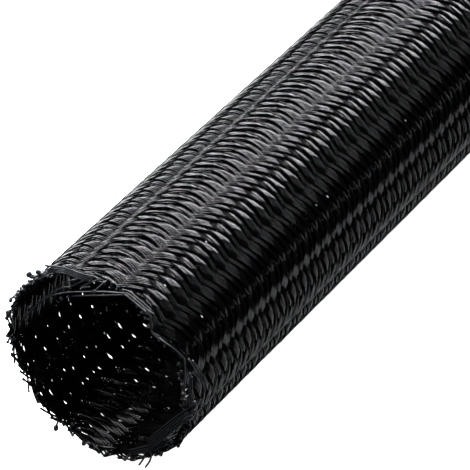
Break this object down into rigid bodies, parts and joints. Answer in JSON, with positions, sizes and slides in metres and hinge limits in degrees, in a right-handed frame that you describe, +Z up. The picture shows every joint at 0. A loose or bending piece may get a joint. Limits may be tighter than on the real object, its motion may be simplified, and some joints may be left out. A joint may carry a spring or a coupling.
{
  "type": "braided cable sleeve",
  "caption": "Straight cut length of black braided monofilament cable sleeve, round and open at both ends, with a two-over two-under weave.",
  "frame": {"origin": "on the floor that the tube lies on, below the middle of its length", "axes": "+Y along the tube, away from the open mouth at -Y; +Z up"},
  "size_m": [0.0298, 0.5, 0.0298],
  "materials": {
    "black_pet_monofilament": "glossy black extruded monofilament"
  },
  "bodies": {
    "root": {"braided_sleeve": "black_pet_monofilament"}
  },
  "joints": []
}
